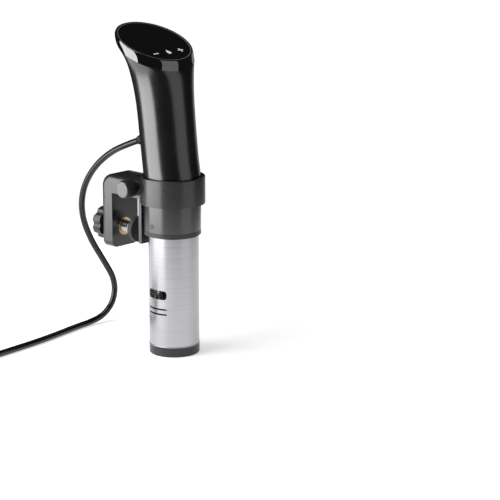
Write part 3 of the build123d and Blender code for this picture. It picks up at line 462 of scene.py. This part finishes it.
def turned_rings(origin, axis, profile, segments=64, swell=None):
    """Rings of a turned shape along an axis. Swell scales each point's radius by its place and angle."""
    axis = axis.normalized()
    side = axis.orthogonal().normalized()
    across = axis.cross(side)
    rings = []
    for along, radius in profile:
        ring = []
        for index in range(segments):
            angle = 2 * math.pi * index / segments
            reach = radius * (swell(along, radius, angle) if swell else 1.0)
            ring.append(origin + axis * along + (side * math.cos(angle) + across * math.sin(angle)) * reach)
        rings.append(ring)
    return rings


def leaning_ring(center_y, center_z, tilt, radius):
    """A ring round the point (0, center_y, center_z) whose plane leans towards the front."""
    ring = []
    for index in range(SHELL_SEGMENTS):
        angle = 2 * math.pi * index / SHELL_SEGMENTS
        reach = radius * math.sin(angle)
        ring.append(Vector((radius * math.cos(angle), center_y + reach * math.cos(tilt),
                            center_z + reach * math.sin(tilt))))
    return ring


def rim_place(depth, drift):
    """The centre of a section of the head, as (y, z)."""
    return (RIM_CENTER.y + depth * math.sin(RIM_TILT) - drift * math.cos(RIM_TILT),
            RIM_CENTER.z - depth * math.cos(RIM_TILT) - drift * math.sin(RIM_TILT))


def rim_ring(depth, drift, radius):
    """A ring of the head, depth under the rim and drift towards the front."""
    return leaning_ring(*rim_place(depth, drift), RIM_TILT, radius)


def eased_stations(stations, steps):
    """Smoothly spaced stations through the given ones."""
    spread = []
    last = len(stations) - 1
    for index in range(last):
        before = stations[max(index - 1, 0)]
        start = stations[index]
        end = stations[index + 1]
        after = stations[min(index + 2, last)]
        for step in range(steps):
            t = step / steps
            spread.append(tuple(0.5 * (2 * b + (c - a) * t + (2 * a - 5 * b + 4 * c - d) * t * t
                                       + (3 * b - a - 3 * c + d) * t ** 3)
                                for a, b, c, d in zip(before, start, end, after)))
    spread.append(stations[last])
    return spread


def add_handle_body():
    """The handle's body, a smooth shell with a fine step under the band."""
    edge_step = 0.0003
    foot_round = 0.0005
    top = (*rim_place(BAND_DEPTH, BAND_DRIFT), math.degrees(RIM_TILT), BAND_RADIUS - edge_step)
    spread = eased_stations(HANDLE_STATIONS + [top], SHELL_STEPS)
    outer = [leaning_ring(y, z, math.radians(tilt), radius) for y, z, tilt, radius in spread]
    inner = [leaning_ring(y, z, math.radians(tilt), radius - HANDLE_WALL)
             for y, z, tilt, radius in reversed(spread)]
    foot_y, foot_z, _, foot_radius = spread[0]
    foot = [leaning_ring(foot_y, foot_z, 0, foot_radius - foot_round),
            leaning_ring(foot_y, foot_z + foot_round * 0.6, 0, foot_radius)]
    body = add_piece("handle_body", foot + outer[1:] + inner, "handle_gloss", "main", looped=True)
    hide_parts("handle_shell")


def add_head_band():
    """The gloss band round the head, with the seat for the accent ring (whose grey is a painted highlight)
    and the ledge under the glass.
    """
    outline = [
        (BAND_DEPTH, BAND_DRIFT, BAND_RADIUS - 0.0004),
        (BAND_DEPTH - 0.0003, BAND_DRIFT * 0.96, BAND_RADIUS),
        (BAND_DEPTH - 0.0020, BAND_DRIFT * 0.66, BAND_RADIUS + 0.00028),
        (SHOULDER_DEPTH, SHOULDER_DRIFT, SHOULDER_RADIUS),
        (SHOULDER_DEPTH * 0.5, SHOULDER_DRIFT * 0.36, SHOULDER_RADIUS - 0.0001),
        (RIM_CHAMFER + 0.0004, 0.0002, RIM_RADIUS + 0.0001),
        (RIM_CHAMFER * 0.5, 0, RIM_RADIUS - RIM_CHAMFER * 0.3),
        (0, 0, RIM_RADIUS - RIM_CHAMFER),
        (0, 0, RING_SEAT_RADIUS),
        (LEDGE_TOP, 0, RING_SEAT_RADIUS),
        (LEDGE_TOP, 0, LEDGE_RADIUS),
        (LEDGE_BOTTOM, 0, LEDGE_RADIUS),
        (LEDGE_BOTTOM, SHOULDER_DRIFT, SHOULDER_RADIUS - HANDLE_WALL),
        (BAND_DEPTH, BAND_DRIFT, BAND_RADIUS - HANDLE_WALL),
    ]
    band = add_piece("head_band", [rim_ring(*section) for section in outline], "rim_gloss", "main",
                     looped=True)
    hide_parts("trim_ring")


def add_handle_screws():
    """A flush socket screw on each side of the handle, low down."""
    def socket(along, radius, angle):
        """Makes the points inside the head's rim six-sided."""
        if radius > 0.0016:
            return 1.0
        return math.cos(math.pi / 6) / math.cos((angle % (math.pi / 3)) - math.pi / 6) * 1.1

    profile = [(-0.0040, 0.0012), (-0.0015, 0.0012), (-0.0014, 0.0024), (-0.0001, 0.0024),
               (0.00005, 0.0022), (0.00005, 0.0014), (-0.0009, 0.0013), (-0.0010, 0.0002)]
    for side, name in ((-1, "left"), (1, "right")):
        origin = Vector((side * HANDLE_RADIUS, HANDLE_SHIFT, SCREW_LEVEL))
        rings = turned_rings(origin, Vector((side, 0, 0)), profile, 48, socket)
        screw = add_piece("handle_screw_" + name, rings, "screw_black", "main")
        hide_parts("handle_screws")


def add_thumb_screw():
    """The fluted thumb knob with its pale cap, over a threaded stud."""
    flute_count = 24
    flute_depth = 0.028
    flute_start = 0.0084
    stud_start = -0.0230
    stud_length = 0.0412

    def flutes(along, radius, angle):
        """Cuts the flutes into the widest part of the grip."""
        if radius < flute_start:
            return 1.0
        return 1.0 - flute_depth * max(0.0, math.cos(flute_count * angle))

    low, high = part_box("thumb_knob")
    axis_y = (low[1] + high[1]) / 2
    axis_z = (low[2] + high[2]) / 2
    length = high[0] - low[0]
    origin = Vector((high[0], axis_y, axis_z))
    profile = [(0.0001, 0.0070), (0.0003, 0.0078), (0.0012, 0.0083), (0.0020, 0.0089),
               (0.0030, 0.0090), (length - 0.0030, 0.0090), (length - 0.0018, 0.0089),
               (length - 0.0008, 0.0083), (length - 0.0002, 0.0081), (length - 0.0002, 0.0078)]
    knob = add_piece("thumb_grip", turned_rings(origin, Vector((-1, 0, 0)), profile, 192, flutes),
                     "knob_plastic", "thumb_screw")
    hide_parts("thumb_knob")
    face = Vector((low[0], axis_y, axis_z))
    cap = [(-0.0012, 0.0079), (-0.0001, 0.0079), (0.0001, 0.0077), (0.0002, 0.0073), (0.00025, 0.0060),
           (0.00028, 0.0030), (0.00028, 0.0004)]
    add_piece("thumb_cap", turned_rings(face, Vector((-1, 0, 0)), cap), "knob_cap", "thumb_screw")
    stud = threaded_rings(Vector((stud_start, axis_y, axis_z)), Vector((1, 0, 0)), stud_length,
                          0.00255, 0.0030, 0.001, 6)
    piece = add_piece("thumb_thread", stud, "screw_steel", "thumb_screw", crease=25.0)
    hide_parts("thumb_stud")


def threaded_rings(origin, axis, length, root, crest, pitch, steps):
    """Rings of a screw thread between a root and a crest radius, tapered at its free end."""
    levels = math.ceil(length / pitch * steps)

    def ridge(along, radius, angle):
        phase = (along / pitch - angle / (2 * math.pi)) % 1.0
        rise = min(1.0, max(0.0, 1.35 * (1 - abs(2 * phase - 1)) - 0.2))
        ease = min(1.0, (length - along) / pitch)
        return (root + (crest - root) * rise * ease) / crest

    profile = [(index / levels * length, crest) for index in range(levels + 1)]
    return turned_rings(origin, axis, profile, 40, ridge)


def add_press_screw():
    """The clamp screw's thread and the stepped cap on its knob."""
    end_gap = 0.0002
    low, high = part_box("press_screw")
    level = (low[2] + high[2]) / 2
    thread = threaded_rings(Vector((0, low[1] + end_gap, level)), Vector((0, 1, 0)),
                            high[1] - low[1] - 2 * end_gap, 0.0049, 0.0060, 0.003, 8)
    piece = add_piece("press_thread", thread, "screw_steel", "press_screw", crease=25.0)
    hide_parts("press_screw")
    cap = [(-0.0020, 0.0098), (0.0, 0.0098), (0.0005, 0.0094), (0.0007, 0.0088), (0.0005, 0.0078),
           (0.0005, 0.0060), (0.0007, 0.0052), (0.0007, 0.0004)]
    knob_face = Vector((0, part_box("press_knob")[1][1], level))
    add_piece("press_cap", turned_rings(knob_face, Vector((0, 1, 0)), cap), "knob_cap", "press_screw")


def add_skirt_hems():
    """A fine rolled hem at each end of the steel skirt."""
    low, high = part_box("skirt_tube")
    reach = high[0]
    for name, level in (("skirt_hem_low", low[2] + 0.0006), ("skirt_hem_high", high[2] - 0.0006)):
        profile = [(0.00045 * math.sin(math.radians(turn)), reach + 0.00035 * math.cos(math.radians(turn)))
                   for turn in range(0, 360, 36)]
        rings = turned_rings(Vector((0, 0, level)), Vector((0, 0, 1)), profile, 96)
        add_piece(name, rings, "skirt_steel", "skirt", looped=True, crease=80.0)


def add_strain_relief():
    """A tapered strain relief with rounded ribs, over the cord where it leaves the handle."""
    taper = 0.0130
    base_radius = 0.0066
    tip_radius = 0.0043
    ribs = 4
    step = taper / ribs
    profile = [(-0.0180, 0.0078), (-0.0132, 0.0078), (-taper, base_radius)]
    for rib in range(ribs):
        start = -taper + rib * step
        wide = base_radius - (base_radius - tip_radius) * rib / ribs
        profile += [(start + step * 0.08, wide), (start + step * 0.30, wide + 0.0001),
                    (start + step * 0.52, wide - 0.0003), (start + step * 0.60, wide - 0.0013),
                    (start + step * 0.88, wide - 0.0014)]
    profile += [(0.0002, 0.0044), (0.00026, 0.0040), (0.00026, 0.0034)]
    relief = add_piece("strain_relief", turned_rings(CORD_EXIT, gland_axis, profile), "gland_rubber",
                       "main")
    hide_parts("cord_gland")


# ---- Floor ----
def add_floor():
    """A round pale floor, wide enough for the object's shadow."""
    data = bpy.data.meshes.new("floor")
    angles = [2 * math.pi * index / FLOOR_SIDES for index in range(FLOOR_SIDES)]
    verts = [(FLOOR_RADIUS * math.cos(angle), FLOOR_RADIUS * math.sin(angle), 0) for angle in angles]
    data.from_pydata(verts, [], [list(range(FLOOR_SIDES))])
    floor = bpy.data.objects.new("floor", data)
    bpy.context.scene.collection.objects.link(floor)
    floor.data.materials.append(finish_material("floor_paper", grey(0.86), grey(0.88), (0.7, 0.8),
                                                grain=8.0, Emission_Color=(1.0, 1.0, 1.0, 1.0),
                                                Emission_Strength=0.56))


add_camera()
add_world()
add_lights()
add_floor()
paint_nodes()
add_cord()
add_handle_body()
add_head_band()
add_handle_screws()
add_thumb_screw()
add_press_screw()
add_strain_relief()
add_skirt_hems()

bpy.context.scene.view_settings.view_transform = "Standard"
